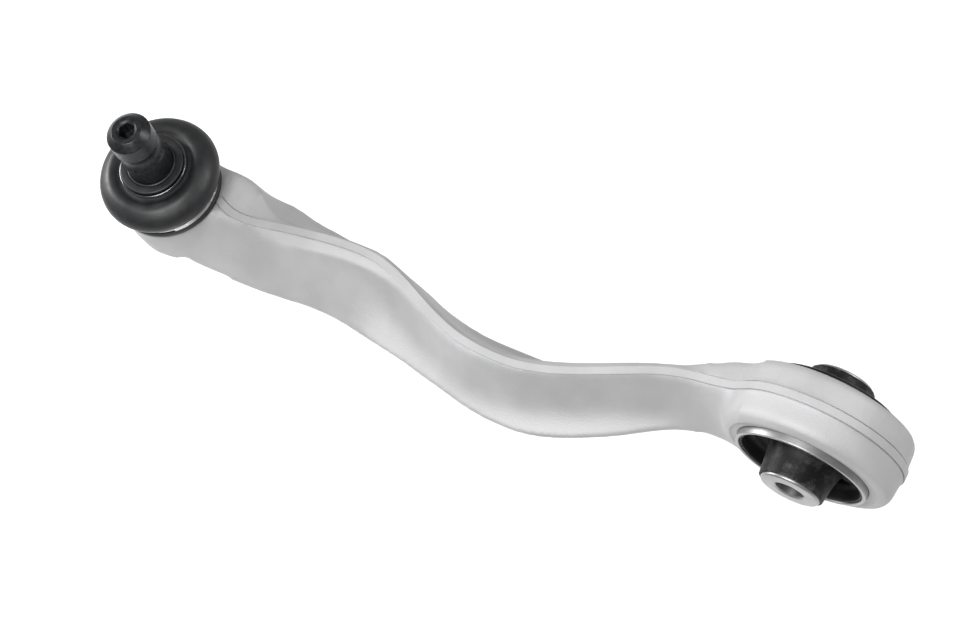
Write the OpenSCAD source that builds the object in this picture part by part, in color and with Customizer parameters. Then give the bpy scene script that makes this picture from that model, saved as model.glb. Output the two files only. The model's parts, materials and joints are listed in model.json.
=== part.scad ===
// Curved suspension control arm: forged beam, ball joint at one end, rubber bush at the other.
// Origin: centre of the bush bore. +Y runs along the bush bore, +Z along the ball pin, -X to the ball.

/* [Link layout] */
// Distance along X from the bush axis to the ball pin axis
centre_distance = 250; // [210:1:310]
// Distance of the ball centre from the bush mid plane, towards -Y
ball_side = 7; // [0:0.5:14]
// How far the beam swings past the ball centre, towards -Y
swing = 14; // [0:0.5:18]

/* [Beam] */
// Height of the top ridge above the bush axis
ridge_h = 12; // [11:0.5:15]
// Depth of the underside below the bush axis
under_h = 13; // [11:0.5:15]
// Half width of the bottom flange in the middle of the beam
flange_half = 12; // [9:0.5:14]
// Half width of the narrow top flange
crest_half = 3; // [2.5:0.1:4]
// How far the web leans out between the top flange and its foot
web_lean = 3.8; // [2:0.2:5]
// Depth of the web's foot below the bush axis
web_foot = 5; // [0:0.5:6]
// Width of the parting band that runs round the whole forging
band_w = 2.8; // [1:0.1:4]
// How far the parting band stands proud of the skin
band_lift = 0.5; // [0.2:0.1:1]

/* [Bush eye] */
// Radius of the eye at the parting band
eye_r = 31.6; // [30:0.5:38]
// Width of the eye along the bush axis
eye_w = 22.6; // [20:0.1:23.6]
// Radius of the eye where its drafted side meets the end face
eye_face_r = 28.6; // [26.5:0.1:29]

/* [Bush] */
// Outer radius of the outer sleeve, which is pressed into the eye
sleeve_r = 23.2; // [22:0.1:24]
// Wall of the outer sleeve
sleeve_wall = 1.2; // [1:0.1:2]
// Length of the outer sleeve
sleeve_len = 25; // [24.2:0.1:32]
// How far the outer sleeve is pressed out of the middle, towards -Y
sleeve_shift = 0.6; // [0:0.1:1]
// Outer radius of the inner sleeve
inner_r = 10.5; // [9:0.1:12]
// Length of the inner sleeve
inner_len = 42; // [36:0.5:50]
// Bore of the inner sleeve, for an M10 bolt
bolt_bore_d = 10.2; // [8.2:0.1:12.2]
// Depth of the rubber's hollow between the sleeves, from each end of the outer sleeve
rubber_sink = 6; // [2:0.5:8]
// Thickness of the rubber that lines the outer sleeve
lining = 1; // [0.6:0.1:1.5]
// How far the rubber's lip stands out over the far end of the outer sleeve
lip_len = 2.2; // [1:0.1:3]
// Gap between the rubber and the inner sleeve that turns in it
bond_gap = 0.05; // [0.02:0.01:0.1]

/* [Ball joint] */
// Radius of the ball
ball_r = 11.5; // [10.5:0.1:12.2]
// Running gap round the ball, and round the bearing shell
ball_gap = 0.05; // [0.02:0.01:0.1]
// Thinnest wall of the bearing shell
seat_wall = 1.65; // [1.2:0.05:1.8]
// Radius of the neck above the ball
neck_r = 6.2; // [5:0.1:6.5]
// Outer radius of the ball housing at its top
housing_r = 19; // [18:0.5:22]
// Height of the housing top above the ball centre
housing_top = 9; // [8:0.1:9.5]
// Depth of the housing underside below the ball centre
housing_under = 15.8; // [15.8:0.1:18]
// Thickness of the closing cover
cover_t = 1.8; // [1.2:0.1:2]

/* [Ball pin] */
// Diameter of the pin shank
pin_d = 16; // [14:0.1:16.5]
// Height of the pin tip above the ball centre
pin_tip = 53.6; // [50:0.1:60]
// Height of the chamfer at the tip
tip_chamfer = 2.6; // [1:0.1:4]
// Radius at the waist of the clamp bolt groove
waist_r = 6.6; // [6:0.1:7.2]
// Length of the clamp bolt groove
groove_len = 7.5; // [5:0.1:9]
// Distance from the chamfer down to the groove
groove_down = 6.5; // [4:0.1:8]
// Width across flats of the tool socket in the tip
socket_af = 5; // [4:0.5:6]
// Depth of the tool socket
socket_deep = 6; // [3:0.5:8]

/* [Dust boot] */
// Radius of the housing spigot that carries the boot
spigot_r = 17; // [16.5:0.1:17.5]
// Height of the housing spigot
spigot_h = 5.8; // [5.4:0.1:6]
// Wall of the boot
boot_wall = 1.3; // [1:0.1:1.6]
// Largest radius of the boot
boot_r = 22; // [21:0.1:23]
// Height of the boot's top face above the ball centre
boot_top = 28.2; // [27.5:0.1:31]
// Outer radius of the boot's upper lip
lip_r = 12.2; // [11.8:0.1:12.6]
// Height of the lower clamp ring
clamp_h = 3.4; // [2:0.1:3.4]
// Wall of the upper support ring
support_wall = 0.85; // [0.6:0.05:1]

/* [Hidden] */
$fn = 96;
// Beam lines, as fractions of the centre distance from the bush axis
BEAM_END = 0.065;
BEAM_START = 0.975;
STATIONS = 44;
SIDE_STEPS = 10;
// Ridge and flange shapes
NECK_HALF = 3.5;
SHOULDER = 11;
CREST_Z = -8;
EDGE_Z = -9.6;
BAND_HALF = band_w / 2;
EDGE_DROP = 1;
UNDER_CAMBER = 0.4;
FILLET = 0.8;
seat_r = ball_r + ball_gap + seat_wall;
seat_top = ball_r * 0.52;
seat_under = ball_r + seat_wall;
bore_r = seat_r + ball_gap;
pin_r = pin_d / 2;
chamfer_z = pin_tip - tip_chamfer;
groove_z = chamfer_z - groove_down;
lip_in_r = pin_r + ball_gap + support_wall + bond_gap;
lip_under = boot_top - 3.4;
foot_h = 2.3;
groove_r = lip_r - 1.2;
clamp_r = spigot_r + boot_wall;

// Smooth step from 0 to 1 as v goes from a to b
function ramp(a, b, v) = let (t = max(0, min(1, (v - a) / (b - a)))) t * t * (3 - 2 * t);
// Centre line of the bottom flange, s is the fraction of the way from bush to ball
function base_y(s) = -ball_side - swing * ramp(0.77, 0.46, s)
    + (ball_side + swing) * ramp(0.40, 0.14, s);
// Line of the top ridge, which cuts the corners of the bends
function ridge_y(s) = -ball_side + 1 + 1.6 * ramp(0.78, 0.70, s)
    - (swing + 1.5) * ramp(0.67, 0.46, s) + 0.6 * ramp(0.42, 0.36, s)
    + (ball_side + swing - 1.7) * ramp(0.42, 0.15, s);
function ridge_z(s) = ridge_h - 3 * ramp(0.70, 0.88, s) + 5 * ramp(0.17, 0.09, s);
// The parting band wanders from side to side of the ridge
function band_y(s) = ridge_y(s) + 1.5 * ramp(0.86, 0.76, s) * ramp(0.56, 0.66, s)
    - 1.6 * ramp(0.80, 0.87, s) - 0.9 * ramp(0.47, 0.38, s) * ramp(0.20, 0.28, s);
function under_z(s) = -under_h - 4 * ramp(0.17, 0.09, s);
function base_half(s) = flange_half + NECK_HALF * ramp(0.64, 0.86, s)
    - 1.5 * ramp(0.22, 0.10, s);
// The flange swells towards the near side on the outside of both bends and at the neck
function swell(s) = 1.9 * ramp(0.57, 0.67, s) - 3.5 * ramp(0.95, 0.975, s)
    + 2.6 * ramp(0.53, 0.42, s) * ramp(0.18, 0.27, s);
function tuck(s) = 1.2 * ramp(0.85, 0.79, s) * ramp(0.66, 0.72, s) - 0.8 * ramp(0.80, 0.86, s);
// The ridge is a little broader towards the ball
function crest(s) = crest_half + 0.8 * ramp(0.60, 0.66, s);
// On the far side the top flange widens into a flat shoulder at each end
function far_crest(s) = crest(s) + SHOULDER * ramp(0.82, 0.91, s) + 7.6 * ramp(0.20, 0.11, s);
function edge_drop(s) = EDGE_DROP - 0.7 * ramp(0.84, 0.92, s);
// The hollow on the near side starts as a crease and ends short of the eye
function near_hollow(s) = ramp(0.88, 0.80, s) * ramp(0.12, 0.22, s);
function far_hollow(s) = ramp(0.82, 0.66, s) * ramp(0.14, 0.26, s);
// The web starts low under the ridge and grows down to its full foot in the first bend
function lean(s) = 1 + (web_lean - 1) * ramp(0.66, 0.58, s);
function foot_z(s) = ridge_h - 1.6 - 3 * ramp(0.84, 0.70, s)
    - (ridge_h + web_foot - 4.6) * ramp(0.70, 0.61, s);

// A point on a soft corner from a to b that leans into c
function bend(a, b, c, u) = let (p = a + FILLET * (c - a), q = b + FILLET * (c - b), v = 1 - u)
    v * v * v * a + 3 * v * v * u * p + 3 * v * u * u * q + u * u * u * b;

// One side of the section from the ridge down, side is -1 (near) or 1 (far)
function side_pts(s, side) = let (
        half = side < 0 ? crest(s) : far_crest(s),
        hollow = side < 0 ? near_hollow(s) : far_hollow(s),
        grow = side < 0 ? swell(s) : -tuck(s),
        top = [ridge_y(s) + side * half, ridge_z(s) - edge_drop(s)],
        low = [base_y(s) + side * (base_half(s) + grow), CREST_Z],
        foot = [top[0] + side * lean(s), side < 0 ? foot_z(s) : -web_foot],
        corner = (top + low) / 2 * (1 - hollow) + foot * hollow)
    concat([[band_y(s) + side * BAND_HALF, ridge_z(s) + band_lift],
            [band_y(s) + side * BAND_HALF, ridge_z(s)]],
        [for (i = [0 : SIDE_STEPS]) bend(top, low, corner, i / SIDE_STEPS)],
        [[low[0], EDGE_Z],
         [low[0] - side * 1.2, under_z(s) + 1.6],
         [low[0] - side * 4, under_z(s)],
         [base_y(s) + side * BAND_HALF, under_z(s) - UNDER_CAMBER],
         [base_y(s) + side * BAND_HALF, under_z(s) - UNDER_CAMBER - band_lift]]);

function section(s) = let (near = side_pts(s, -1), far = side_pts(s, 1), n = len(near))
    [for (p = concat(near, [for (i = [n - 1 : -1 : 0]) far[i]])) [-centre_distance * s, p[0], p[1]]];

module beam() {
    rows = [for (i = [0 : STATIONS]) section(BEAM_START + (BEAM_END - BEAM_START) * i / STATIONS)];
    n = len(rows[0]);
    points = [for (r = rows) for (p = r) p];
    skin = [for (i = [0 : STATIONS - 1]) for (j = [0 : n - 1]) let (k = (j + 1) % n)
        each [[i * n + j, (i + 1) * n + k, i * n + k], [i * n + j, (i + 1) * n + j, (i + 1) * n + k]]];
    // Each end is closed by a ladder of triangles between the near and the far side
    ladder = [for (j = [0 : n / 2 - 2])
        each [[j, j + 1, n - 2 - j], [j, n - 2 - j, n - 1 - j]]];
    finish = [for (f = ladder) [for (k = [2 : -1 : 0]) STATIONS * n + f[k]]];
    polyhedron(points = points, faces = concat(skin, ladder, finish));
}

// A shape spun about the bush axis
module about_bush() {
    rotate([-90, 0, 0]) children();
}

// A shape spun about the ball pin axis
module about_pin() {
    translate([-centre_distance, -ball_side, 0]) rotate_extrude() children();
}

module eye_body() {
    skin_r = eye_r - band_lift;
    half = eye_w / 2;
    about_bush() rotate_extrude() polygon([
        [sleeve_r - 2, -half], [eye_face_r - 1, -half], [eye_face_r + 1, -half + 0.8],
        [eye_face_r + 2, -half + 2.6], [skin_r, -BAND_HALF], [eye_r, -BAND_HALF],
        [eye_r, BAND_HALF], [skin_r, BAND_HALF], [eye_face_r + 2, half - 2.6],
        [eye_face_r + 1, half - 0.8], [eye_face_r - 1, half], [sleeve_r - 2, half]]);
}

module housing_body() {
    lip_out = bore_r + 1.2;
    about_pin() polygon([
        [0, -housing_under], [lip_out + 0.9, -housing_under], [lip_out + 2.2, -housing_under + 1.2],
        [housing_r - 0.3, -housing_under / 2], [housing_r + 0.2, 0], [housing_r, housing_top - 1],
        [housing_r - 0.6, housing_top], [spigot_r, housing_top], [spigot_r, housing_top + spigot_h - 0.5],
        [spigot_r - 0.5, housing_top + spigot_h], [0, housing_top + spigot_h]]);
}

// Everything cut out of the housing: bearing bore, cover seat, rolled lip and flared mouth
module housing_cavity() {
    cover_under = seat_under + ball_gap + cover_t;
    mouth_r = sqrt(ball_r * ball_r - seat_top * seat_top) + 0.6;
    top = housing_top + spigot_h;
    about_pin() polygon([
        [0, -housing_under - 1], [bore_r - 1, -housing_under - 1], [bore_r - 1, -cover_under],
        [bore_r, -cover_under], [bore_r, seat_top + ball_gap], [mouth_r, seat_top + ball_gap],
        [mouth_r + 4.4, top], [mouth_r + 4.4, top + 1], [0, top + 1]]);
}

module arm_forging() {
    color([0.72, 0.73, 0.74]) difference() {
        union() {
            beam();
            eye_body();
            housing_body();
        }
        housing_cavity();
        about_bush() cylinder(r = sleeve_r, h = eye_w + 20, center = true);
        clear_over_housing();
    }
}

// Space above the housing top that the boot and its clamp ring need
module clear_over_housing() {
    about_pin() polygon([
        [spigot_r, housing_top], [housing_r + 1.5, housing_top],
        [housing_r + 1.5, housing_top + 6], [spigot_r, housing_top + 6]]);
}

module housing_cover() {
    top = -seat_under - ball_gap;
    color([0.55, 0.56, 0.58]) about_pin() polygon([
        [0, top - cover_t * 0.7], [bore_r * 0.55, top - cover_t * 0.7], [bore_r * 0.72, top - cover_t],
        [bore_r, top - cover_t], [bore_r, top], [bore_r * 0.72, top], [bore_r * 0.55, top],
        [0, top]]);
}

module ball_seat() {
    cavity_r = ball_r + ball_gap;
    pocket_r = 4;
    color([0.9, 0.88, 0.8]) difference() {
        about_pin() polygon([[pocket_r, -seat_under], [seat_r, -seat_under], [seat_r, seat_top],
            [pocket_r, seat_top]]);
        translate([-centre_distance, -ball_side, 0]) sphere(r = cavity_r);
    }
}

module ball_pin() {
    neck_z = sqrt(ball_r * ball_r - neck_r * neck_r);
    waist_z = groove_z - groove_len / 2;
    color([0.26, 0.26, 0.27]) translate([-centre_distance, -ball_side, 0]) difference() {
        union() {
            sphere(r = ball_r);
            rotate_extrude() polygon([
                [0, 0], [neck_r, 0], [neck_r, neck_z + 3.5], [pin_r, neck_z + 9],
                [pin_r, groove_z - groove_len], [waist_r, waist_z - 1.2], [waist_r, waist_z + 1.2],
                [pin_r, groove_z], [pin_r, chamfer_z], [pin_r - tip_chamfer, pin_tip], [0, pin_tip]]);
        }
        translate([0, 0, pin_tip - socket_deep])
            cylinder(d = socket_af / cos(30), h = socket_deep + 1, $fn = 6);
    }
}

module dust_boot() {
    foot_z = housing_top;
    clamp_low = foot_z + foot_h;
    clamp_top = clamp_low + clamp_h;
    bulge_z = foot_z + 11;
    in_r = boot_r - boot_wall;
    color([0.06, 0.06, 0.06]) about_pin() polygon([
        [spigot_r, foot_z], [housing_r + 0.5, foot_z], [housing_r + 0.6, clamp_low - 0.3],
        [clamp_r, clamp_low], [clamp_r, clamp_top], [clamp_r + 1.3, clamp_top + 0.4],
        [boot_r - 0.6, bulge_z - 3], [boot_r, bulge_z], [boot_r - 0.6, bulge_z + 2.6],
        [boot_r - 2.6, bulge_z + 5], [boot_r - 5.6, bulge_z + 5.9], [lip_r + 1, lip_under],
        [lip_r, lip_under + 0.3], [groove_r, lip_under + 0.6], [groove_r, boot_top - 0.9],
        [lip_r - 0.6, boot_top - 0.8], [lip_r - 0.8, boot_top], [lip_in_r, boot_top],
        [lip_in_r, lip_under - 0.6], [lip_r + 0.6, lip_under - boot_wall],
        [boot_r - 5.8, bulge_z + 5.9 - boot_wall], [in_r - 1.9, bulge_z + 3.9],
        [in_r - 0.4, bulge_z + 2], [in_r, bulge_z], [in_r - 0.7, bulge_z - 2.6],
        [spigot_r + 0.6, clamp_top + 1], [spigot_r, clamp_top]]);
}

module boot_lower_clamp_ring() {
    low = housing_top + foot_h;
    mid = low + clamp_h / 2;
    color([0.8, 0.8, 0.8]) about_pin() polygon([
        [clamp_r, low], [clamp_r + 0.9, low], [clamp_r + 0.9, mid - 0.1], [clamp_r + 0.75, mid],
        [clamp_r + 0.9, mid + 0.1], [clamp_r + 0.9, low + clamp_h], [clamp_r, low + clamp_h]]);
}

module boot_upper_clamp_ring() {
    low = lip_under + 0.65;
    ring_r = groove_r + bond_gap;
    color([0.12, 0.12, 0.12]) about_pin() polygon([
        [ring_r, low], [ring_r + 1.4, low], [ring_r + 1.4, boot_top - 0.95], [ring_r, boot_top - 0.95]]);
}

module boot_support_ring() {
    in_r = pin_r + ball_gap;
    color([0.15, 0.15, 0.16]) about_pin() polygon([
        [in_r, lip_under], [in_r + support_wall, lip_under], [in_r + support_wall, boot_top + 0.2],
        [in_r, boot_top + 0.2]]);
}

module bush_outer_sleeve() {
    color([0.78, 0.78, 0.79]) about_bush() translate([0, 0, -sleeve_shift]) difference() {
        cylinder(r = sleeve_r, h = sleeve_len, center = true);
        cylinder(r = sleeve_r - sleeve_wall, h = sleeve_len + 2, center = true);
    }
}

// A kidney-shaped window through the rubber, turn is its direction about the bush
module rubber_void(turn) {
    void_in = inner_r + 4;
    void_out = sleeve_r - sleeve_wall - 2;
    half_angle = 42;
    rotate([0, 0, turn - half_angle]) translate([0, 0, -inner_len])
        rotate_extrude(angle = 2 * half_angle) translate([void_in, 0])
            square([void_out - void_in, 2 * inner_len]);
}

module bush_rubber() {
    out_r = sleeve_r - sleeve_wall;
    in_r = inner_r + bond_gap;
    near = -sleeve_len / 2 - sleeve_shift;
    far = sleeve_len / 2 - sleeve_shift;
    long = inner_len / 2 - 0.9;
    color([0.05, 0.05, 0.05]) about_bush() difference() {
        rotate_extrude() polygon([
            [in_r, -long], [in_r + 0.7, -long], [in_r + 1.6, near], [in_r + 4, near + rubber_sink],
            [out_r - lining, near + rubber_sink], [out_r - lining, near + 0.4], [out_r, near + 0.4],
            [out_r, far], [sleeve_r - 0.3, far], [sleeve_r - 0.4, far + lip_len - 0.8],
            [out_r - 0.2, far + lip_len], [out_r - lining, far + lip_len],
            [out_r - lining, far - rubber_sink],
            [in_r + 4, far - rubber_sink], [in_r + 1.6, far], [in_r + 0.7, long], [in_r, long]]);
        rubber_void(90);
        rubber_void(270);
    }
}

module bush_inner_sleeve() {
    half = inner_len / 2;
    edge = 0.8;
    color([0.75, 0.75, 0.76]) about_bush() difference() {
        union() {
            cylinder(r = inner_r, h = inner_len - 2 * edge, center = true);
            for (side = [0, 180]) rotate([side, 0, 0]) translate([0, 0, half - edge])
                cylinder(r1 = inner_r, r2 = inner_r - edge, h = edge);
        }
        cylinder(d = bolt_bore_d, h = inner_len + 2, center = true);
    }
}

arm_forging();
housing_cover();
ball_seat();
ball_pin();
dust_boot();
boot_lower_clamp_ring();
boot_upper_clamp_ring();
boot_support_ring();
bush_outer_sleeve();
bush_rubber();
bush_inner_sleeve();
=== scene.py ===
# %% [markdown]
# # A curved suspension control arm
# The real part is one aluminium forging with a ball joint in one end and a rubber bush pressed
# into the other. The CAD model gives every size and axis, and this scene turns its plain solids
# into finished pieces. Everything is in metres, in the CAD model's own frame: the origin is the
# centre of the bush, +Y runs along its bore, +Z along the ball pin.

# %% Load the frame
import json
import math

import bmesh
import bpy
from mathutils import Matrix, Vector
from mathutils.bvhtree import BVHTree
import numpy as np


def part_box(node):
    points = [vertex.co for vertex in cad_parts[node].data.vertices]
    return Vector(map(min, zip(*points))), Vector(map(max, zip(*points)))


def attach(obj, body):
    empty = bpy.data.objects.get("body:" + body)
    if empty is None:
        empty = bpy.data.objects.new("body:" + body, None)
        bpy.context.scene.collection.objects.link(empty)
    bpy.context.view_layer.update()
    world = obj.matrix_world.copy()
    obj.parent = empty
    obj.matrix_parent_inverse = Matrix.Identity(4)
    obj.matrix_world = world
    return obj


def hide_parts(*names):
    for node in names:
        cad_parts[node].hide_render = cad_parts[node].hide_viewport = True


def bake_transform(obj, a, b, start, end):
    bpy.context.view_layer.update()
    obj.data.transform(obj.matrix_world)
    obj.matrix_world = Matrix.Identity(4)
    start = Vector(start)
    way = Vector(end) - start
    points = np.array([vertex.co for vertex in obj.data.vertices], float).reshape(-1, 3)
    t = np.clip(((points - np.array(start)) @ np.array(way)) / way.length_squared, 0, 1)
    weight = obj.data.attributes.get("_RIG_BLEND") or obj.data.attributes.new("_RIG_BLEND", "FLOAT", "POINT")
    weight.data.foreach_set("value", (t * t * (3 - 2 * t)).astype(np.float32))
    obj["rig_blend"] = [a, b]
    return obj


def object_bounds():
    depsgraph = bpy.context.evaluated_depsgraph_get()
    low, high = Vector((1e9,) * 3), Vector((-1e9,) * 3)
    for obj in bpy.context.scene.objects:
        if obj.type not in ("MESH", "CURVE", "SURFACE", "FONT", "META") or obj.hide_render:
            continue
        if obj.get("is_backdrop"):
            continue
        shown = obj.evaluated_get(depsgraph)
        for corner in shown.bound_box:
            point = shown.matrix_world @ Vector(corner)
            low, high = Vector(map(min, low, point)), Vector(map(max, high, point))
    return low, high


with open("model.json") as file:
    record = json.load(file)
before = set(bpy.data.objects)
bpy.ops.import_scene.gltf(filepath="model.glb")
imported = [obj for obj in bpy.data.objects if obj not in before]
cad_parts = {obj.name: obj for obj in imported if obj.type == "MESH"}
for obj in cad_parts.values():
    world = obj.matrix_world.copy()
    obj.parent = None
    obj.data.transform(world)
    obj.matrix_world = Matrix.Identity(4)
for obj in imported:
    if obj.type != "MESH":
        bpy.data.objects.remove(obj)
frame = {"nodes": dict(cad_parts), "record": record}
cad_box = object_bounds()
print("CAD box", [[round(c, 4) for c in corner] for corner in cad_box])

# %% Where things are
MM = 0.001
record = frame["record"]
joints = {j["name"]: j for j in record["behaviour"]["joints"]}
BALL = Vector(joints["ball_tilt"]["pos_m"])
BUSH = Vector(joints["bush_torsion"]["pos_m"])


def pin_size(node):
    """Radius, lowest and highest point in mm of a node that is round about the ball pin."""
    low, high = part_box(node)
    return (high[0] - low[0]) / 2 / MM, (low[2] - BALL.z) / MM, (high[2] - BALL.z) / MM


def bush_size(node):
    """Radius, near end and far end in mm of a node that is round about the bush bore."""
    low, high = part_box(node)
    return (high[0] - low[0]) / 2 / MM, low[1] / MM, high[1] / MM


print("ball at", [round(c / MM, 1) for c in BALL], "bush at", [round(c / MM, 1) for c in BUSH])

# %% [markdown]
# ## Camera, floor and light
# The arm is seen from above its near side, so that the ball pin points at the viewer's left and
# the bush shows its near end. The camera stands almost a metre away with a long lens, which
# keeps both ends at nearly the same scale. It is rolled, because the arm lies askew in the view.
# A long lens could also be had by moving the camera further off, but the perspective would go.

# %% Camera
CAMERA_SPOT = Vector((0.2515, -0.2604, 0.8569))
CAMERA_AIM = Vector((-0.1242, -0.0064, 0.0))
CAMERA_ROLL = math.radians(-30.6)
FOCAL_LENGTH = 106.9

camera = bpy.data.objects.new("camera", bpy.data.cameras.new("camera"))
bpy.context.scene.collection.objects.link(camera)
camera.data.lens = FOCAL_LENGTH
camera.data.sensor_width = 36
camera.data.clip_start = 0.01
facing = (CAMERA_AIM - CAMERA_SPOT).to_track_quat("-Z", "Y").to_matrix().to_4x4()
camera.matrix_world = (Matrix.Translation(CAMERA_SPOT) @ facing
                       @ Matrix.Rotation(CAMERA_ROLL, 4, "Z"))
bpy.context.scene.camera = camera
print("camera", round((CAMERA_AIM - CAMERA_SPOT).length, 3), "m away")

# %% [markdown]
# Materials come next, because the floor needs one. Each is a Principled shader with a few
# texture nodes that read Object coordinates, so a pattern keeps its real size in millimetres.
# One helper adds any node, and one turns a hex colour, as a paint chart gives it, to linear.

# %% Material helpers
def colour(hex_code):
    """A linear RGBA colour from an sRGB hex code."""
    parts = [int(hex_code[i:i + 2], 16) / 255 for i in (1, 3, 5)]
    linear = [c / 12.92 if c <= 0.04045 else ((c + 0.055) / 1.055) ** 2.4 for c in parts]
    return (*linear, 1.0)


def add_node(tree, kind, inputs=None, **settings):
    """Adds a node with its settings, and sets or links each of the inputs named."""
    made = tree.nodes.new(kind)
    for name, value in settings.items():
        setattr(made, name, value)
    for name, value in (inputs or {}).items():
        if isinstance(value, bpy.types.NodeSocket):
            tree.links.new(value, made.inputs[name])
        else:
            made.inputs[name].default_value = value
    return made


def start_material(name, **shader_inputs):
    """A material with a Principled shader and its output, and the Object coordinates."""
    material = bpy.data.materials.new(name)
    material.use_nodes = True
    tree = material.node_tree
    tree.nodes.clear()
    inputs = {key.replace("_", " "): value for key, value in shader_inputs.items()}
    shader = add_node(tree, "ShaderNodeBsdfPrincipled", inputs)
    add_node(tree, "ShaderNodeOutputMaterial", {"Surface": shader.outputs["BSDF"]})
    where = add_node(tree, "ShaderNodeTexCoord").outputs["Object"]
    return material, tree, shader, where


def grain(tree, where, size_mm, detail=2.0, roughness=0.5):
    """Noise whose blobs are about size_mm across, as a socket from 0 to 1."""
    return add_node(tree, "ShaderNodeTexNoise", {
        "Vector": where, "Scale": 1 / (size_mm * MM), "Detail": detail,
        "Roughness": roughness}).outputs["Fac"]


def between(tree, value, low, high):
    """Turns a noise value, which stays near 0.5, into a number from low to high."""
    return add_node(tree, "ShaderNodeMapRange", {
        "Value": value, "From Min": 0.3, "From Max": 0.7, "To Min": low,
        "To Max": high}).outputs["Result"]


def link_mixed(tree, shader, amount, first, second):
    """Gives the shader a base colour that wanders between two hex colours."""
    made = add_node(tree, "ShaderNodeMix", {"Factor": amount}, data_type="RGBA")
    made.inputs[6].default_value = colour(first)
    made.inputs[7].default_value = colour(second)
    tree.links.new(made.outputs[2], shader.inputs["Base Color"])


def bump(tree, shader, height, depth_mm, strength=1.0):
    """Bump of a real depth on the shader's normal."""
    made = add_node(tree, "ShaderNodeBump", {
        "Height": height, "Distance": depth_mm * MM, "Strength": strength})
    tree.links.new(made.outputs["Normal"], shader.inputs["Normal"])
    return made


print("helpers ready")

# %% Floor and light
# White backdrop paper: matt, very pale, with no pattern that the eye can find. It lies a
# quarter of a metre below the part, as under a glass table, so the part throws no hard shadow
# and little light comes back up onto its sides.
PAPER_DROP = 0.25
paper, _, _, _ = start_material("backdrop_paper", Base_Color=colour("#F7F7F7"), Roughness=0.9)
floor_mesh = bpy.data.meshes.new("floor")
floor_bm = bmesh.new()
bmesh.ops.create_grid(floor_bm, x_segments=2, y_segments=2, size=3.0)
bmesh.ops.translate(floor_bm, verts=floor_bm.verts, vec=(0, 0, cad_box[0][2] - PAPER_DROP))
floor_bm.to_mesh(floor_mesh)
floor_bm.free()
floor = bpy.data.objects.new("floor", floor_mesh)
floor.data.materials.append(paper)
bpy.context.scene.collection.objects.link(floor)
floor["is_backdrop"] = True


def softbox(name, spot, aim, size, watts):
    """A square area light that shines from spot towards aim."""
    lamp = bpy.data.objects.new(name, bpy.data.lights.new(name, "AREA"))
    lamp.data.shape = "SQUARE"
    lamp.data.size = size
    lamp.data.energy = watts
    direction = Vector(aim) - Vector(spot)
    lamp.matrix_world = (Matrix.Translation(spot)
                         @ direction.to_track_quat("-Z", "Y").to_matrix().to_4x4())
    bpy.context.scene.collection.objects.link(lamp)


# A large soft key from above, a smaller one low at the ball's end, and a rim light from behind.
MIDDLE = (-0.12, -0.01, 0.0)
softbox("overhead_box", (-0.1, -0.4, 0.9), MIDDLE, 0.5, 10)
softbox("left_box", (-0.95, -0.05, 0.3), MIDDLE, 0.3, 6)
softbox("far_strip", (0.45, 0.45, 0.5), MIDDLE, 0.3, 3)
world = bpy.data.worlds.new("studio")
world.use_nodes = True
world.node_tree.nodes["Background"].inputs["Color"].default_value = (1, 1, 1, 1)
world.node_tree.nodes["Background"].inputs["Strength"].default_value = 0.36
bpy.context.scene.world = world
bpy.context.scene.view_settings.view_transform = "Standard"
print("floor and", len(bpy.data.lights), "lights")

# %% [markdown]
# ## Finishes
# Each finish starts from what the metal, rubber or plastic really is. The forging was shot
# blasted, which leaves a satin skin of tiny dents. The pin was phosphated, which leaves a dark
# crystalline coat. The sleeves were turned on a lathe, so they keep fine rings.

# %% Blasted aluminium forging
# Aluminium EN AW-6082, forged and shot blasted: pale satin grey, soft highlights, fine grain.
# The real dents are about 0.2 mm wide; they are drawn 0.6 mm wide so that they show.
forged_aluminium, tree, shader, where = start_material(
    "shot_blasted_aluminium", Metallic=0.4)
patches = grain(tree, where, 14, 3)
link_mixed(tree, shader, between(tree, patches, 0, 1), "#ABABAC", "#B5B5B6")
tree.links.new(between(tree, patches, 0.6, 0.68), shader.inputs["Roughness"])
bump(tree, shader, grain(tree, where, 0.6, 3), 0.11)

# %% Turned aluminium
# The bush's sleeves: aluminium tube, turned, brighter and smoother than the forging.
turned_aluminium, tree, shader, where = start_material(
    "turned_aluminium", Metallic=1.0, Roughness=0.42)
link_mixed(tree, shader, between(tree, grain(tree, where, 6, 2), 0, 1), "#9A9A9B", "#A8A8A8")
rings = add_node(tree, "ShaderNodeTexWave", {
    "Vector": where, "Scale": 1 / (2.4 * MM), "Distortion": 0.4, "Detail": 1.0,
    "Detail Scale": 1.0}, wave_type="BANDS", bands_direction="Y").outputs["Fac"]
bump(tree, shader, rings, 0.004)

# %% Phosphated steel
# The ball pin: forged steel, turned and manganese phosphated, dark grey with a dull bloom.
phosphated_steel, tree, shader, where = start_material("phosphated_steel", Metallic=0.85)
bloom = grain(tree, where, 1.6, 4)
link_mixed(tree, shader, between(tree, bloom, 0, 1), "#2B2C2E", "#3C3D3F")
tree.links.new(between(tree, bloom, 0.3, 0.42), shader.inputs["Roughness"])
bump(tree, shader, grain(tree, where, 0.35, 2), 0.03)

# %% Chloroprene rubber
# The dust boot: moulded chloroprene, near black, with a dull bloom that scatters grey light.
boot_rubber, tree, shader, where = start_material("chloroprene_rubber")
bloom = grain(tree, where, 3.5, 4)
link_mixed(tree, shader, between(tree, bloom, 0, 1), "#0E0F11", "#17181A")
tree.links.new(between(tree, bloom, 0.4, 0.52), shader.inputs["Roughness"])
bump(tree, shader, grain(tree, where, 0.45, 2), 0.04)

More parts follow.
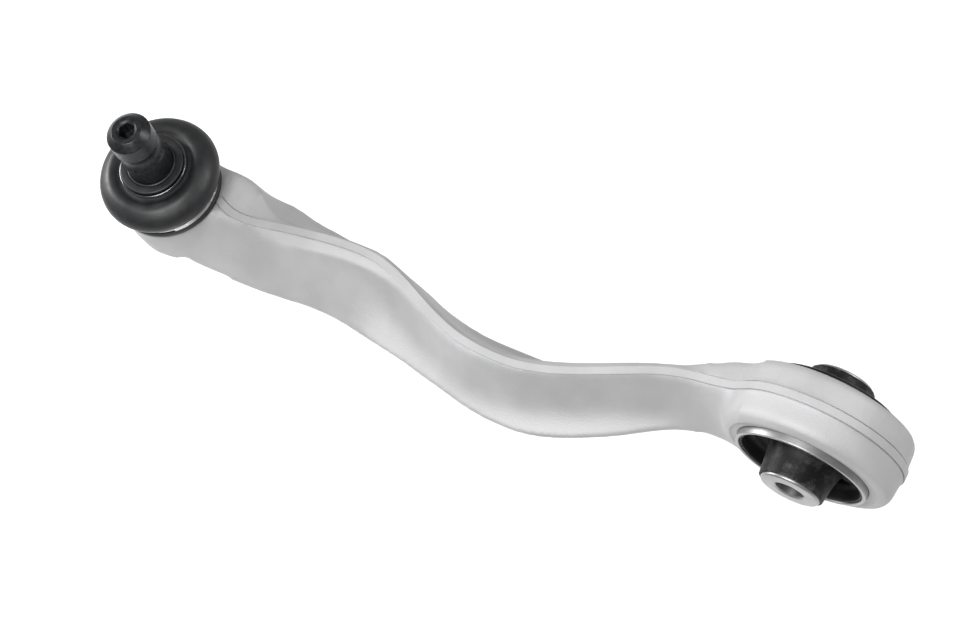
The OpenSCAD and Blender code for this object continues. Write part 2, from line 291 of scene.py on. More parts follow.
# %% Natural rubber
# The bush: carbon-black natural rubber, blacker than the boot and matt, because it is moulded
# against a blasted tool. The raised cone round the inner sleeve gets a grey painted highlight.
bush_rubber_finish, tree, shader, where = start_material(
    "natural_rubber", Specular_IOR_Level=0.3)
HIGHLIGHT_IN, HIGHLIGHT_OUT = 11.5, 14.5
bloom = grain(tree, where, 2.5, 3)
apart = add_node(tree, "ShaderNodeSeparateXYZ", {"Vector": where})
flat = add_node(tree, "ShaderNodeCombineXYZ", {"X": apart.outputs["X"], "Z": apart.outputs["Z"]})
from_bolt = add_node(tree, "ShaderNodeVectorMath", {0: flat.outputs["Vector"]},
                     operation="LENGTH").outputs["Value"]
raised = add_node(tree, "ShaderNodeMapRange", {
    "Value": from_bolt, "From Min": HIGHLIGHT_IN * MM, "From Max": HIGHLIGHT_OUT * MM, "To Min": 1.0,
    "To Max": 0.0}).outputs["Result"]
# Painted highlight: grey patches on the raised cone, which fade out between 11.5 and 14.5 mm from the bolt's
# axis.
painted_highlight = add_node(tree, "ShaderNodeMath", {
    0: raised, 1: between(tree, grain(tree, where, 5, 4, 0.7), -0.8, 0.9)},
    operation="MULTIPLY", use_clamp=True).outputs["Value"]
link_mixed(tree, shader, painted_highlight, "#08080A", "#4A4B4D")
tree.links.new(between(tree, bloom, 0.5, 0.62), shader.inputs["Roughness"])
bump(tree, shader, grain(tree, where, 0.5, 2), 0.02)

# %% Spring steel
# The lower clamp ring: bright flat spring wire, rolled smooth, with faint drawing lines.
spring_steel, tree, shader, where = start_material(
    "bright_spring_steel", Metallic=1.0, Roughness=0.22)
link_mixed(tree, shader, between(tree, grain(tree, where, 2, 2), 0, 1), "#B4B4B3", "#C9C9C8")
bump(tree, shader, grain(tree, where, 0.3, 1), 0.005)

# %% Black oiled steel
# The upper clamp ring: round spring wire, blackened in oil, so it shines where it turns.
oiled_steel, tree, shader, where = start_material(
    "black_oiled_steel", Metallic=1.0, Roughness=0.2)
link_mixed(tree, shader, between(tree, grain(tree, where, 1.5, 2), 0, 1), "#5A5B5D", "#77787A")

# %% Acetal
# The bearing shell and the boot's support ring: moulded acetal, waxy and smooth.
shell_acetal, tree, shader, where = start_material("natural_acetal", Roughness=0.38)
link_mixed(tree, shader, between(tree, grain(tree, where, 4, 2), 0, 1), "#E8E4D6", "#EFECE2")
bump(tree, shader, grain(tree, where, 0.6, 2), 0.004)
black_acetal, tree, shader, where = start_material("black_acetal", Roughness=0.35)
link_mixed(tree, shader, between(tree, grain(tree, where, 2, 2), 0, 1), "#1A1B1C", "#262729")
bump(tree, shader, grain(tree, where, 0.5, 2), 0.008)
print(len(bpy.data.materials), "materials")

# %% [markdown]
# ## Mesh helpers
# Most pieces of a ball joint and a bush are round, so one helper spins an outline. The outline
# is a closed loop of (radius, height, fillet) points in mm. Its corners are rounded by a vertex
# bevel before the spin, which gives every rim a real edge radius that catches light.

# %% Spin an outline
SPIN_STEPS = 144


def lathe(outline, angle=math.tau, steps=SPIN_STEPS):
    """A bmesh of an outline spun about Z."""
    bm = bmesh.new()
    verts = [bm.verts.new((r * MM, 0, h * MM)) for r, h, _ in outline]
    bm.faces.new(verts)
    for size in sorted({fillet for _, _, fillet in outline if fillet}):
        corners = [v for v, (_, _, fillet) in zip(verts, outline) if fillet == size]
        bmesh.ops.bevel(bm, geom=corners, offset=size * MM, affect="VERTICES", segments=4,
                        profile=0.5, material=-1)
    full = angle >= math.tau
    bmesh.ops.delete(bm, geom=bm.faces[:], context="FACES_ONLY")
    on_axis = [e for e in bm.edges if all(abs(v.co.x) < 1e-7 for v in e.verts)]
    bmesh.ops.delete(bm, geom=on_axis, context="EDGES")
    bmesh.ops.spin(bm, geom=bm.verts[:] + bm.edges[:], cent=(0, 0, 0), axis=(0, 0, 1),
                   dvec=(0, 0, 0), angle=angle, steps=steps, use_merge=full,
                   use_normal_flip=False, use_duplicate=False)
    close_up(bm)
    return bm


def close_up(bm):
    """Merges doubles, caps open ends and turns all faces outwards."""
    bmesh.ops.remove_doubles(bm, verts=bm.verts, dist=1e-6)
    bmesh.ops.dissolve_degenerate(bm, edges=bm.edges, dist=1e-7)
    loose = [v for v in bm.verts if not v.link_faces]
    bmesh.ops.delete(bm, geom=loose, context="VERTS")
    bmesh.ops.holes_fill(bm, edges=[e for e in bm.edges if e.is_boundary], sides=0)
    bmesh.ops.recalc_face_normals(bm, faces=bm.faces)


def about_pin(bm):
    """Moves a shape spun about Z onto the ball pin's axis."""
    bmesh.ops.translate(bm, verts=bm.verts, vec=BALL)
    return bm


def about_bush(bm):
    """Turns a shape spun about Z onto the bush's axis."""
    bmesh.ops.rotate(bm, verts=bm.verts, cent=(0, 0, 0),
                     matrix=Matrix.Rotation(-math.pi / 2, 3, "X"))
    bmesh.ops.translate(bm, verts=bm.verts, vec=BUSH)
    return bm


# %% Turn a bmesh into a piece
SHARP = math.radians(32)


def to_object(name, bm):
    """Puts a bmesh into a new object at the origin."""
    mesh = bpy.data.meshes.new(name)
    bm.to_mesh(mesh)
    bm.free()
    made = bpy.data.objects.new(name, mesh)
    bpy.context.scene.collection.objects.link(made)
    return made


def shade(piece, sharp=SHARP):
    """Smooth faces, with the edges that turn by more than an angle left sharp."""
    bm = bmesh.new()
    bm.from_mesh(piece.data)
    for face in bm.faces:
        face.smooth = True
    for edge in bm.edges:
        edge.smooth = not (edge.is_manifold and edge.calc_face_angle(0) > sharp)
    open_edges = sum(not e.is_manifold for e in bm.edges)
    volume = bm.calc_volume(signed=True)
    bm.to_mesh(piece.data)
    bm.free()
    print(f"{piece.name}: {len(piece.data.polygons)} faces, {open_edges} open edges, "
          f"{volume * 1e9:.0f} mm3")


def fit_piece(piece, finish, node):
    """Gives a piece its finish, shades it and hides the CAD node that it stands in for."""
    piece.data.materials.clear()
    piece.data.materials.append(finish)
    shade(piece)
    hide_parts(node)


def use_tool(piece, tool, operation):
    """Cuts a tool object out of a piece, or adds it, and removes the tool.

    The piece is left in triangles, because the next cut can crack a face with many corners,
    and a crack of a single triangle is closed.
    """
    change = piece.modifiers.new("tool", "BOOLEAN")
    change.operation = operation
    change.solver = "EXACT"
    change.object = tool
    bake_modifiers(piece)
    bpy.data.objects.remove(tool, do_unlink=True)
    bm = bmesh.new()
    bm.from_mesh(piece.data)
    bmesh.ops.triangulate(bm, faces=bm.faces)
    bmesh.ops.holes_fill(bm, edges=[e for e in bm.edges if e.is_boundary], sides=3)
    bm.to_mesh(piece.data)
    bm.free()


def bake_modifiers(piece):
    """Makes what the modifiers show the piece's own mesh."""
    shown = piece.evaluated_get(bpy.context.evaluated_depsgraph_get())
    mesh = bpy.data.meshes.new_from_object(shown)
    piece.modifiers.clear()
    old = piece.data
    piece.data = mesh
    bpy.data.meshes.remove(old)


def merged(*shapes):
    """One bmesh out of several, as separate shells."""
    whole = bmesh.new()
    for shape in shapes:
        part = bpy.data.meshes.new("shell")
        shape.to_mesh(part)
        whole.from_mesh(part)
        shape.free()
        bpy.data.meshes.remove(part)
    return whole


# %% [markdown]
# ## The forging
# The arm is one forging: a beam with hollow sides, an eye and a ball housing. A forging has no
# sharp corner anywhere except where the dies meet. The CAD beam is a loft of flat facets, so a
# copy of it is remeshed into small even quads and smoothed, more around the eye and the
# housing, where the real part has wide fillets. A subdivision cage could do the same, but the
# joints between beam, eye and housing would need a cage of many odd corners.

# %% Copy and remesh the beam
VOXEL = 0.75 * MM
eye_low, eye_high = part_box("arm_forging")
EYE_R = eye_high[0] / MM  # the eye is round about the origin
EYE_HALF = 11.3  # the node's box can't give this, because the beam is wider than the eye
SLEEVE_R, SLEEVE_NEAR, SLEEVE_FAR = bush_size("bush_outer_sleeve")
SEAT_R, _, SEAT_TOP = pin_size("ball_seat")
BOOT_R, FOOT_Z, BOOT_TOP = pin_size("dust_boot")
CLAMP_R, CLAMP_LOW, CLAMP_TOP = pin_size("boot_lower_clamp_ring")

cad_arm = bmesh.new()
cad_arm.from_mesh(frame["nodes"]["arm_forging"].data)
bmesh.ops.remove_doubles(cad_arm, verts=cad_arm.verts, dist=1e-6)
bmesh.ops.recalc_face_normals(cad_arm, faces=cad_arm.faces)
cad_skin = BVHTree.FromBMesh(cad_arm)
print("eye radius", round(EYE_R, 1), "half width", round(EYE_HALF, 1))

# Both ends are plugged first, so that the smoothing doesn't pull on the rims of their bores.
PLUG_OVER = 0.6
HOUSING_UNDER = -15.8
eye_plug = about_bush(lathe([(0, -EYE_HALF, 0), (SLEEVE_R + PLUG_OVER, -EYE_HALF, 0),
                             (SLEEVE_R + PLUG_OVER, EYE_HALF, 0), (0, EYE_HALF, 0)]))
housing_plug = about_pin(lathe([(0, HOUSING_UNDER, 0), (SEAT_R + PLUG_OVER, HOUSING_UNDER, 0),
                                (SEAT_R + 1.4, FOOT_Z - 0.2, 0), (0, FOOT_Z - 0.2, 0)]))
arm = to_object("forged_arm", merged(cad_arm, eye_plug, housing_plug))
even = arm.modifiers.new("even", "REMESH")
even.mode = "VOXEL"
even.voxel_size = VOXEL
bake_modifiers(arm)
print("remeshed to", len(arm.data.polygons), "quads")

# %% Smooth the forging
SKIN_PASSES = 4
FILLET_PASSES = 50
EYE_FILLET = (-40 * MM, -20 * MM)
HOUSING_FILLET = (14 * MM, 34 * MM)


def near_junction(co):
    """True where the beam runs into the eye or the housing, away from their rims."""
    at_eye = EYE_FILLET[0] < co.x < EYE_FILLET[1]
    out = math.hypot(co.x - BALL.x, co.y - BALL.y)
    at_housing = co.x > BALL.x + 4 * MM and HOUSING_FILLET[0] < out < HOUSING_FILLET[1]
    return at_eye or at_housing


spacing = VOXEL / (0.75 * MM)
smooth_bm = bmesh.new()
smooth_bm.from_mesh(arm.data)
for _ in range(max(2, round(SKIN_PASSES / spacing ** 2))):
    bmesh.ops.smooth_vert(smooth_bm, verts=smooth_bm.verts, factor=0.5, use_axis_x=True,
                          use_axis_y=True, use_axis_z=True)
fillets = [v for v in smooth_bm.verts if near_junction(v.co)]
for _ in range(round(FILLET_PASSES / spacing ** 2)):
    bmesh.ops.smooth_vert(smooth_bm, verts=fillets, factor=0.5, use_axis_x=True,
                          use_axis_y=True, use_axis_z=True)
smooth_bm.to_mesh(arm.data)
smooth_bm.free()
print(len(fillets), "corners in the fillets")

# %% [markdown]
# The housing's top is machined flat after forging, so that the boot's foot seals on it. The
# copy is cut flat there, and the skin that is left is what the parting band is laid on.

# %% Face the housing
HOUSING_TOP = FOOT_Z
SPIGOT_R = 17.0
FACED_R = 22.5
clearance = about_pin(lathe([(0, HOUSING_TOP, 0), (FACED_R, HOUSING_TOP, 0),
                             (FACED_R, HOUSING_TOP + 12, 0), (0, HOUSING_TOP + 12, 0)]))
use_tool(arm, to_object("clearance", clearance), "DIFFERENCE")
skin_bm = bmesh.new()
skin_bm.from_mesh(arm.data)
skin = BVHTree.FromBMesh(skin_bm)
skin_bm.free()

# %% [markdown]
# ## The parting band
# Where the two forging dies met, the metal squeezed out and was trimmed off, which leaves a
# low flat band about 3 mm wide. It runs along the top ridge, round the eye and back along the
# underside. Its line is measured on the CAD beam, laid on the smoothed skin, and a small
# section is extruded along it. A bump texture could draw it, but its step would not catch light.

# %% Measure the ridge
BAND_HALF = 1.4
BAND_LIFT = 0.28
RAY_STEP = 0.1 * MM
RAY_HIGH = 0.08
RAY_OUT = 0.06
CREST_DROP = 0.15 * MM


def middle_y(x, up):
    """The middle of the band at x, on the top (up = 1) or on the underside (up = -1)."""
    heights = []
    for i in range(round((eye_high[1] - eye_low[1]) / RAY_STEP)):
        y = eye_low[1] + i * RAY_STEP
        spot = cad_skin.ray_cast(Vector((x, y, up * RAY_HIGH)), Vector((0, 0, -up)))[0]
        if spot:
            heights.append((spot.z * up, y))
    top = max(heights)[0]
    crest = [y for z, y in heights if z > top - CREST_DROP]
    return (min(crest) + max(crest)) / 2


def on_skin(start, direction):
    """Where a ray meets the smoothed forging."""
    return skin.ray_cast(Vector(start), Vector(direction))[0]


def evened(points, passes=4):
    """Takes small steps out of a line of points."""
    for _ in range(passes):
        points = ([points[0]]
                  + [(a + 2 * b + c) / 4 for a, b, c in zip(points, points[1:], points[2:])]
                  + [points[-1]])
    return points


STEP = 3 * MM
NECK_X = -24 * MM
FIRST_X = BALL.x + 19.4 * MM
BLEND_X = -36 * MM
beam_xs = [FIRST_X + STEP * i for i in range(int((NECK_X - FIRST_X) / STEP) + 1)]


def ridge_line(up):
    """The band's line along the beam; near the eye it leads over to the eye's middle."""
    line = [Vector((x, middle_y(x, up), 0)) for x in beam_xs if x < BLEND_X]
    last = line[-1]
    line += [Vector((x, last.y * max(0, (NECK_X - x) / (NECK_X - last.x)), 0))
             for x in beam_xs if x >= BLEND_X]
    return evened(line)


top_line = ridge_line(1)
under_line = ridge_line(-1)
print("ridge swings from", round(min(p.y for p in top_line) / MM, 1), "to",
      round(max(p.y for p in top_line) / MM, 1), "mm")

# %% Lay the band on the skin
EYE_STEPS = 72
TURN_MARGIN = 0.06
turn_start = math.acos(NECK_X / (EYE_R * MM)) - TURN_MARGIN
turns = [turn_start - 2 * turn_start * i / EYE_STEPS for i in range(EYE_STEPS + 1)]
round_eye = [Vector((math.cos(a), 0, math.sin(a))) for a in turns]
track = [on_skin((p.x, p.y, RAY_HIGH), (0, 0, -1)) for p in top_line]
track += [on_skin(RAY_OUT * out, -out) for out in round_eye]
track += [on_skin((p.x, p.y, -RAY_HIGH), (0, 0, 1)) for p in reversed(under_line)]
track = evened([p for p in track if p], 3)
END_HEIGHTS = range(-14, 8)
end_track = evened([on_skin((BALL.x - RAY_OUT, BALL.y, z * MM), (1, 0, 0))
                    for z in END_HEIGHTS], 3)
print("band track has", len(track), "points,", len(end_track), "on the housing's end")


# %% Sweep a section
def stations_along(track):
    """A frame at each point of a track: X across the track, Y out of the skin, Z along it."""
    frames = []
    for i, spot in enumerate(track):
        along = track[min(i + 1, len(track) - 1)] - track[max(i - 1, 0)]
        out = Vector((-along.z, 0, along.x)).normalized()
        across = out.cross(along).normalized()
        turned = Matrix((across, out, across.cross(out))).transposed().to_4x4()
        frames.append(Matrix.Translation(spot) @ turned)
    return frames


def sweep(stations, section):
    """Extrudes a section of (across, out) points in mm from station to station."""
    bm = bmesh.new()
    corners = [bm.verts.new(stations[0] @ Vector((w * MM, h * MM, 0))) for w, h in section]
    face = bm.faces.new(corners)
    for i, (last, here) in enumerate(zip(stations, stations[1:])):
        grown = bmesh.ops.extrude_face_region(bm, geom=[face])["geom"]
        if i:
            bmesh.ops.delete(bm, geom=[face], context="FACES_ONLY")
        face = next(g for g in grown if isinstance(g, bmesh.types.BMFace))
        bmesh.ops.transform(bm, matrix=here @ last.inverted(), verts=face.verts)
    bmesh.ops.recalc_face_normals(bm, faces=bm.faces)
    return bm


band_section = [(-BAND_HALF, -1.2), (BAND_HALF, -1.2), (BAND_HALF, BAND_LIFT - 0.12),
                (BAND_HALF - 0.15, BAND_LIFT), (0.15 - BAND_HALF, BAND_LIFT),
                (-BAND_HALF, BAND_LIFT - 0.12)]
# The trimming blade left a fine line in the skin along each side of the band.
LINE_WIDE, LINE_DEEP, LINE_OVER = 0.5, 0.4, 1.5
UNDER_BAND = 0.1
ridge_stations = stations_along(track)
trim_lines = [sweep(ridge_stations, [(edge, -LINE_DEEP), (edge + LINE_WIDE, -LINE_DEEP),
                                     (edge + LINE_WIDE, LINE_OVER), (edge, LINE_OVER)])
              for edge in (-BAND_HALF - LINE_WIDE + UNDER_BAND, BAND_HALF - UNDER_BAND)]
use_tool(arm, to_object("lines", merged(*trim_lines)), "DIFFERENCE")
ridge_band = sweep(ridge_stations, band_section)
end_band = sweep(stations_along(end_track), band_section)
spigot = about_pin(lathe([(9, HOUSING_TOP - 3, 0), (SPIGOT_R, HOUSING_TOP - 3, 0),
                          (SPIGOT_R, CLAMP_TOP, 0.5), (9, CLAMP_TOP, 0)]))
use_tool(arm, to_object("added", merged(ridge_band, end_band, spigot)), "UNION")

# %% [markdown]
# The eye is bored for the bush, and the forging dips in a soft groove round the bore. The
# housing is bored from below for the ball, its shell and the cover, and its bottom rim is
# rolled in over the cover. These cuts come after the smoothing, so that machined edges stay
# crisp on a soft forged skin.

# %% Bore the forging
BORE_R = SEAT_R + 0.05
ROLLED_R = BORE_R - 1
COVER_UNDER = pin_size("housing_cover")[1]
BALL_R, _, PIN_TIP = pin_size("ball_pin")
MOUTH_R = math.sqrt(BALL_R ** 2 - SEAT_TOP ** 2) + 0.6
GROOVE_IN, GROOVE_OUT, GROOVE_DEEP = 23.6, 27.4, 1.1

half_bore = [(GROOVE_OUT + 1, EYE_HALF + 2, 0), (25.4, EYE_HALF - GROOVE_DEEP, 1.6),
             (GROOVE_IN, EYE_HALF - 0.5, 0.3), (SLEEVE_R, EYE_HALF - 1.0, 0)]
eye_tool = about_bush(lathe(
    [(0, EYE_HALF + 2, 0)] + half_bore
    + [(r, -h, fillet) for r, h, fillet in reversed(half_bore)] + [(0, -EYE_HALF - 2, 0)]))
cavity = about_pin(lathe([
    (0, -18, 0), (ROLLED_R + 1.2, -18, 0), (ROLLED_R, COVER_UNDER - 0.5, 0.4),
    (ROLLED_R, COVER_UNDER, 0), (BORE_R, COVER_UNDER, 0), (BORE_R, SEAT_TOP + 0.05, 0),
    (MOUTH_R, SEAT_TOP + 0.05, 0), (MOUTH_R + 4.4, CLAMP_TOP + 0.1, 0),
    (MOUTH_R + 4.4, CLAMP_TOP + 2, 0), (0, CLAMP_TOP + 2, 0)]))
use_tool(arm, to_object("bores", merged(eye_tool, cavity)), "DIFFERENCE")
fit_piece(arm, forged_aluminium, "arm_forging")
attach(arm, "arm")

# %% [markdown]
# ## Ball pin
# The pin is turned from one bar: a polished ball, a neck, a tapered shoulder and a shank with a
# round groove that the clamp bolt locks into. A six-lobed socket in its tip holds it still while
# the clamp is tightened. It is spun in one go, because the real one is turned on a lathe.

# %% Ball pin
SHANK_R = 8.0
NECK_R = 6.2
TIP_CHAMFER = 2.6
GROOVE_TOP = PIN_TIP - TIP_CHAMFER - 6.5
GROOVE_LONG = 7.5
GROOVE_SINK = 1.4
SOCKET_R = 2.85
SOCKET_DEEP = 5.5
LOBE = 0.2


def arc(centre, radius, start, end, steps):
    """Points of (radius, height, fillet) on an arc, with its angles in degrees from level."""
    turns = [math.radians(start + (end - start) * i / steps) for i in range(steps + 1)]
    return [(centre[0] + radius * math.cos(t), centre[1] + radius * math.sin(t), 0)
            for t in turns]


neck_turn = math.degrees(math.acos(NECK_R / BALL_R))
ball_arc = arc((0, 0), BALL_R, -88, neck_turn, 40)
groove_mid = GROOVE_TOP - GROOVE_LONG / 2
groove_r = (GROOVE_LONG ** 2 / 4 + GROOVE_SINK ** 2) / (2 * GROOVE_SINK)
groove_half = math.degrees(math.asin(GROOVE_LONG / 2 / groove_r))
groove = arc((SHANK_R - GROOVE_SINK + groove_r, groove_mid), groove_r,
             180 + groove_half, 180 - groove_half, 12)
neck_top = BALL_R * math.sin(math.radians(neck_turn))
pin = to_object("ball_pin_turned", about_pin(lathe(
    [(0, -BALL_R, 0)] + ball_arc
    + [(NECK_R, neck_top + 3.5, 2), (SHANK_R, neck_top + 9, 1),
       (SHANK_R, GROOVE_TOP - GROOVE_LONG - 0.35, 0)]
    + groove
    + [(SHANK_R, GROOVE_TOP + 0.35, 0), (SHANK_R, PIN_TIP - TIP_CHAMFER, 0.12),
       (SHANK_R - TIP_CHAMFER, PIN_TIP, 0.15), (SOCKET_R + 0.8, PIN_TIP, 0.15),
       (SOCKET_R + 0.1, PIN_TIP - 0.6, 0), (0, PIN_TIP - 0.6, 0)])))

# %% Six-lobed socket
socket = bmesh.new()
bmesh.ops.create_circle(socket, cap_ends=True, segments=96, radius=SOCKET_R * MM)
for vert in socket.verts:
    turn = math.atan2(vert.co.y, vert.co.x)
    vert.co *= 1 + LOBE / SOCKET_R * math.cos(6 * turn)
floor_face = bmesh.ops.extrude_face_region(socket, geom=socket.faces[:])["geom"]
bottom = [g for g in floor_face if isinstance(g, bmesh.types.BMVert)]
bmesh.ops.translate(socket, verts=bottom, vec=(0, 0, -(SOCKET_DEEP + 2) * MM))
bmesh.ops.translate(socket, verts=socket.verts, vec=BALL + Vector((0, 0, (PIN_TIP + 2) * MM)))
bmesh.ops.recalc_face_normals(socket, faces=socket.faces)
use_tool(pin, to_object("socket", socket), "DIFFERENCE")
fit_piece(pin, phosphated_steel, "ball_pin")
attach(pin, "pin")

# %% [markdown]
# ## Dust boot
# The boot keeps grease in and grit out. It is moulded rubber with a thick foot, which the
# clamp ring squeezes onto the housing's spigot, a bellows that lets the pin tilt, and a lip
# with a groove for the small ring. It is one wall of even thickness, so it is spun from an
# outline with an outer and an inner side, and it bends between the two ends when the pin tilts.

# %% Dust boot
# The foot clears the spigot by a hair, because the boot turns with the ball joint.
CLAMP_IN = CLAMP_R - 0.9
FOOT_IN = SPIGOT_R + 0.06
FOOT_UNDER = FOOT_Z + 0.04
WALL = 1.3
LIP_R = 12.2
LIP_UNDER = BOOT_TOP - 3.4
LIP_IN = 8.95
RING_IN = LIP_R - 1.2
boot = to_object("rubber_boot", about_pin(lathe([
    (FOOT_IN, FOOT_UNDER, 0), (CLAMP_R + 0.3, FOOT_UNDER, 0.5),
    (CLAMP_R + 0.4, CLAMP_LOW - 0.05, 0.6),
    (CLAMP_IN, CLAMP_LOW, 0.1), (CLAMP_IN, CLAMP_TOP, 0.1), (CLAMP_R + 0.5, CLAMP_TOP + 0.1, 0.5),
    (BOOT_R, CLAMP_TOP + 2.6, 2.2), (BOOT_R, CLAMP_TOP + 7.4, 3), (16.2, 26.5, 2.4),
    (13.4, LIP_UNDER, 0.8), (LIP_R, LIP_UNDER + 0.2, 0.3), (RING_IN, LIP_UNDER + 0.55, 0.15),
    (RING_IN, BOOT_TOP - 0.9, 0.15), (LIP_R - 0.5, BOOT_TOP - 0.75, 0.25),
    (LIP_R - 0.7, BOOT_TOP, 0.3), (LIP_IN, BOOT_TOP, 0.3), (LIP_IN, LIP_UNDER - 0.6, 0.4),
    (LIP_R + 0.6, LIP_UNDER - WALL, 0.6), (16.2, 26.5 - WALL * 1.1, 2),
    (BOOT_R - WALL, CLAMP_TOP + 6.8, 2.4), (BOOT_R - WALL, CLAMP_TOP + 3.2, 1.8),
    (SPIGOT_R + 0.4, CLAMP_TOP + 1, 0.4), (FOOT_IN, CLAMP_TOP, 0.2)])))
fit_piece(boot, boot_rubber, "dust_boot")
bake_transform(boot, "bearing_shell", "boot_collar",
         start=BALL + Vector((0, 0, CLAMP_TOP * MM)), end=BALL + Vector((0, 0, LIP_UNDER * MM)))

# %% [markdown]
# ## Rings of the boot
# Both clamp rings are coils of spring wire. The lower one is two turns of bright flat wire, and
# its cut end shows on the near side. The upper one is blackened wire in the groove of the lip.
# A coil is one wire section spun with a small rise in every step, as a spring winder feeds it.


# %% Wind the rings
def coil(inner_r, low, wire_wide, wire_high, turns, rise, end_turn, soft):
    """A coil of flat wire about the ball pin that ends at end_turn degrees, in mm."""
    bm = bmesh.new()
    start = math.radians(end_turn) - turns * math.tau
    section = [(inner_r, low), (inner_r + wire_wide, low), (inner_r + wire_wide, low + wire_high),
               (inner_r, low + wire_high)]
    corners = [bm.verts.new((r * MM, 0, h * MM)) for r, h in section]
    bm.faces.new(corners)
    bmesh.ops.bevel(bm, geom=corners, offset=soft * MM, affect="VERTICES", segments=4,
                    profile=0.5, material=-1)
    bmesh.ops.rotate(bm, verts=bm.verts, cent=(0, 0, 0), matrix=Matrix.Rotation(start, 3, "Z"))
    steps = round(96 * turns)
    bmesh.ops.spin(bm, geom=bm.faces[:], cent=(0, 0, 0), axis=(0, 0, 1),
                   dvec=(0, 0, rise * turns / steps * MM), angle=turns * math.tau, steps=steps,
                   use_duplicate=False)
    close_up(bm)
    return about_pin(bm)


FLAT_WIRE = (CLAMP_TOP - CLAMP_LOW) / 3
lower_ring = to_object("flat_wire_ring", coil(
    CLAMP_IN, CLAMP_LOW + 0.02, 0.85, FLAT_WIRE, 1.98, FLAT_WIRE, -57, 0.14))
fit_piece(lower_ring, spring_steel, "boot_lower_clamp_ring")
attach(lower_ring, "arm")
RING_HIGH = BOOT_TOP - 0.95 - LIP_UNDER - 0.65
upper_ring = to_object("oiled_wire_ring", coil(
    RING_IN + 0.05, LIP_UNDER + 0.65, 1.35, RING_HIGH / 2.04, 1.5, RING_HIGH / 3, 120, 0.38))
fit_piece(upper_ring, oiled_steel, "boot_upper_clamp_ring")
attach(upper_ring, "boot_collar")

# %% Support ring
# A thin moulded ring inside the lip that lets the pin turn without dragging the rubber.
SUPPORT_R, SUPPORT_LOW, SUPPORT_TOP = pin_size("boot_support_ring")
support = to_object("moulded_support_ring", about_pin(lathe([
    (SHANK_R + 0.05, SUPPORT_LOW, 0.15), (SUPPORT_R, SUPPORT_LOW, 0.15),
    (SUPPORT_R, SUPPORT_TOP, 0.3), (SHANK_R + 0.05, SUPPORT_TOP, 0.25)])))
fit_piece(support, black_acetal, "boot_support_ring")
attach(support, "boot_collar")

# %% [markdown]
# ## Inside the housing
# The ball turns in a moulded shell that the cover holds down. The shell is out of sight, so the
# CAD solid stays, with its own finish. The cover is a pressed and turned disc that shows from
# below, so it is spun again with soft edges and a shallow dish.

# %% Cover and shell
COVER_R, COVER_LOW, COVER_TOP = pin_size("housing_cover")
cover = to_object("turned_cover", about_pin(lathe([
    (0, COVER_LOW + 0.7, 0), (6.2, COVER_LOW + 0.7, 0.8), (8.2, COVER_LOW, 0.8),
    (COVER_R, COVER_LOW, 0.15), (COVER_R, COVER_TOP, 0.2), (0, COVER_TOP, 0)])))
fit_piece(cover, turned_aluminium, "housing_cover")
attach(cover, "arm")
shell = frame["nodes"]["ball_seat"]
shell.data.materials.clear()
shell.data.materials.append(shell_acetal)
print("cover", round(COVER_R, 2), "mm, shell", round(SEAT_R, 2), "mm")

# %% [markdown]
# ## Bush
# The bush is a sleeve pressed into the eye, a sleeve that the bolt clamps, and rubber bonded
# between them. Two kidney-shaped windows above and below the bolt make it soft one way and
# stiff the other. Its rubber twists when the arm swings, so it blends between both bodies.

# %% Sleeves
SLEEVE_WALL = 1.2
INNER_R, INNER_NEAR, INNER_FAR = bush_size("bush_inner_sleeve")
BOLT_R = 5.1
sleeve_in = SLEEVE_R - SLEEVE_WALL
outer = to_object("pressed_sleeve", about_bush(lathe([
    (sleeve_in, SLEEVE_NEAR, 0.35), (SLEEVE_R, SLEEVE_NEAR, 0.35),
    (SLEEVE_R, SLEEVE_FAR, 0.35), (sleeve_in, SLEEVE_FAR, 0.35)])))
fit_piece(outer, turned_aluminium, "bush_outer_sleeve")
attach(outer, "arm")
inner = to_object("bolt_sleeve", about_bush(lathe([
    (BOLT_R + 0.5, INNER_NEAR, 0), (INNER_R - 0.5, INNER_NEAR, 0.1),
    (INNER_R, INNER_NEAR + 0.5, 0.2), (INNER_R, INNER_FAR - 0.5, 0.2),
    (INNER_R - 0.5, INNER_FAR, 0.1), (BOLT_R + 0.5, INNER_FAR, 0),
    (BOLT_R, INNER_FAR - 0.5, 0), (BOLT_R, INNER_NEAR + 0.5, 0)])))
fit_piece(inner, turned_aluminium, "bush_inner_sleeve")
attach(inner, "bush_inner")

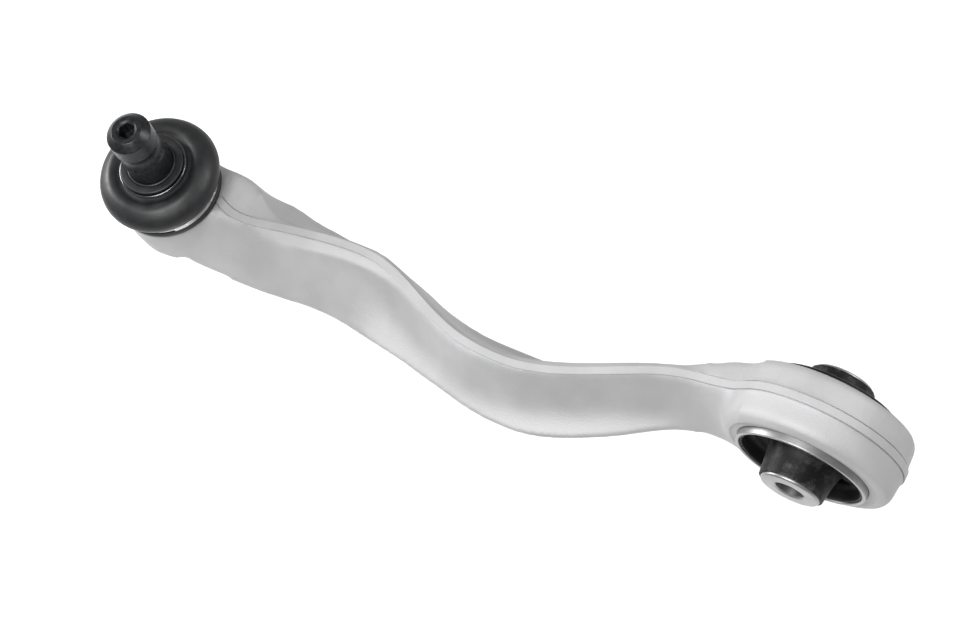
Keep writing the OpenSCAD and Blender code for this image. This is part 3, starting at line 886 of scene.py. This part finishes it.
# %% Bush rubber
# The rubber climbs the inner sleeve as a cone, lines the outer one with a thin skin, and its
# lip covers the far end of the outer one. The windows are cut, and then the whole block is
# remeshed and smoothed, because moulded rubber has a radius on every edge.
RUBBER_R, RUBBER_NEAR, RUBBER_FAR = bush_size("bush_rubber")
LINING = 1.0
SINK = 6.0
CONE_WIDE = 3.2
LIP_FAR = SLEEVE_FAR + 2.2
LINING_IN = sleeve_in - LINING
RIM_GAP = 0.5
KIDNEY_IN = INNER_R + 4
KIDNEY_OUT = sleeve_in - 2
KIDNEY_HALF = 42
rubber = to_object("bonded_rubber", about_bush(lathe([
    (INNER_R + 0.05, RUBBER_NEAR, 0), (INNER_R + 0.8, RUBBER_NEAR, 0),
    (INNER_R + 1.6, SLEEVE_NEAR, 0), (INNER_R + CONE_WIDE, SLEEVE_NEAR + SINK, 2.5),
    (LINING_IN, SLEEVE_NEAR + SINK, 1.5), (LINING_IN, SLEEVE_NEAR + RIM_GAP, 0),
    (sleeve_in, SLEEVE_NEAR + RIM_GAP, 0), (sleeve_in, SLEEVE_FAR, 0), (RUBBER_R, SLEEVE_FAR, 0),
    (RUBBER_R, LIP_FAR - 0.6, 0), (sleeve_in - 0.2, LIP_FAR, 0), (LINING_IN, LIP_FAR, 0),
    (LINING_IN, SLEEVE_FAR - SINK, 1.5), (INNER_R + CONE_WIDE, SLEEVE_FAR - SINK, 2.5),
    (INNER_R + 1.6, SLEEVE_FAR, 0), (INNER_R + 0.8, RUBBER_FAR, 0),
    (INNER_R + 0.05, RUBBER_FAR, 0)])))
windows = []
for middle in (90, 270):
    window = lathe([(KIDNEY_IN, -30, 0), (KIDNEY_OUT, -30, 0), (KIDNEY_OUT, 30, 0),
                    (KIDNEY_IN, 30, 0)], angle=math.radians(2 * KIDNEY_HALF), steps=40)
    bmesh.ops.rotate(window, verts=window.verts, cent=(0, 0, 0),
                     matrix=Matrix.Rotation(math.radians(middle - KIDNEY_HALF), 3, "Z"))
    windows.append(about_bush(window))
use_tool(rubber, to_object("windows", merged(*windows)), "DIFFERENCE")
even = rubber.modifiers.new("even", "REMESH")
even.mode = "VOXEL"
even.voxel_size = 0.5 * MM
soft = rubber.modifiers.new("soft", "SMOOTH")
soft.factor = 0.5
soft.iterations = 3
bake_modifiers(rubber)
fit_piece(rubber, bush_rubber_finish, "bush_rubber")
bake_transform(rubber, "arm", "bush_inner", start=(0, INNER_NEAR * MM, 0), end=(0, INNER_FAR * MM, 0))
share = rubber.data.attributes["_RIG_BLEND"]
for point, vert in zip(share.data, rubber.data.vertices):
    out = math.hypot(vert.co.x - BUSH.x, vert.co.z - BUSH.z) / MM
    point.value = min(1.0, max(0.0, (sleeve_in - out) / (sleeve_in - INNER_R)))

# %% [markdown]
# ## Check and finish
# The boxes of the CAD model and of the visual model are printed side by side.

# %% Finish
show_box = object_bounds()
for name, cad, shown in zip("XYZ", zip(*cad_box), zip(*show_box)):
    print(name, [round(c / MM, 2) for c in cad], [round(c / MM, 2) for c in shown])
